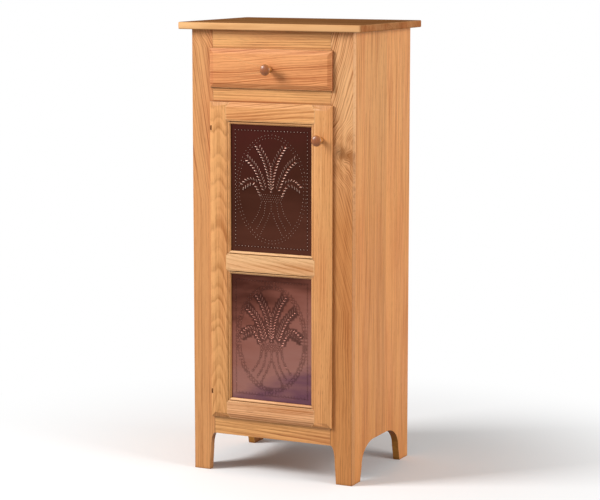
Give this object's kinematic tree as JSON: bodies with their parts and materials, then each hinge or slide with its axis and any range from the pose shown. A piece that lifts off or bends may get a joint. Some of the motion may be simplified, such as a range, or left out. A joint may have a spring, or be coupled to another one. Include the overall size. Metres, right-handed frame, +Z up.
{
  "type": "pie safe",
  "caption": "Tall narrow oak cupboard on curved feet with a lipped drawer over a lipped framed door that holds punched copper panels, round wooden knobs and shelves inside.",
  "frame": {"origin": "on the floor at the middle of the footprint of the whole piece, knobs included", "axes": "+Z up, -Y out of the front with the drawer and the door, +X to the right of someone who faces the front"},
  "size_m": [0.5398, 0.4266, 1.2286],
  "materials": {
    "oak": "satin varnish",
    "inner_oak": "thin matte varnish",
    "plywood": "matte",
    "knob_wood": "satin varnish",
    "copper": "darkened and lacquered copper",
    "antique_brass": "darkened",
    "steel": "zinc plated",
    "catch_plastic": "moulded brown"
  },
  "bodies": {
    "case": {"face_stile_left": "oak", "face_stile_right": "oak", "face_rail_bottom": "oak", "face_rail_middle": "oak", "face_rail_top": "oak", "side_panel_left": "oak", "side_panel_right": "oak", "back_panel": "plywood", "cabinet_floor": "inner_oak", "top_board": "oak", "top_cleat_left": "inner_oak", "top_cleat_right": "inner_oak", "shelf_lower": "inner_oak", "shelf_upper": "inner_oak", "shelf_pin_lower_left_front": "antique_brass", "shelf_pin_lower_left_back": "antique_brass", "shelf_pin_lower_right_front": "antique_brass", "shelf_pin_lower_right_back": "antique_brass", "shelf_pin_upper_left_front": "antique_brass", "shelf_pin_upper_left_back": "antique_brass", "shelf_pin_upper_right_front": "antique_brass", "shelf_pin_upper_right_back": "antique_brass", "drawer_runner_left": "inner_oak", "drawer_runner_right": "inner_oak", "drawer_guide_left": "inner_oak", "drawer_guide_right": "inner_oak", "drawer_kicker": "inner_oak", "hinge_lower_frame_leaf": "antique_brass", "hinge_lower_pin": "antique_brass", "hinge_upper_frame_leaf": "antique_brass", "hinge_upper_pin": "antique_brass", "catch_case": "catch_plastic"},
    "drawer": {"drawer_front": "oak", "drawer_side_left": "inner_oak", "drawer_side_right": "inner_oak", "drawer_back": "inner_oak", "drawer_bottom": "plywood", "drawer_stop": "inner_oak", "drawer_knob": "knob_wood", "drawer_knob_screw": "steel"},
    "door": {"door_stile_left": "oak", "door_stile_right": "oak", "door_rail_bottom": "oak", "door_rail_middle": "oak", "door_rail_top": "oak", "door_knob": "knob_wood", "door_knob_screw": "steel", "copper_panel_lower": "copper", "copper_panel_upper": "copper", "retainer_lower_left": "inner_oak", "retainer_lower_right": "inner_oak", "retainer_lower_bottom": "inner_oak", "retainer_lower_top": "inner_oak", "retainer_upper_left": "inner_oak", "retainer_upper_right": "inner_oak", "retainer_upper_bottom": "inner_oak", "retainer_upper_top": "inner_oak", "hinge_lower_door_leaf": "antique_brass", "hinge_upper_door_leaf": "antique_brass", "catch_strike": "steel"}
  },
  "joints": [
    {"name": "drawer_slide", "type": "slide", "parent": "case", "child": "drawer", "axis": [0, -1, 0], "range_m": [0, 0.303]},
    {"name": "door_hinge", "type": "hinge", "parent": "case", "child": "door", "pos_m": [-0.17777, -0.17474, 0.585], "axis": [0, 0, -1], "range_deg": [0, 170]}
  ]
}
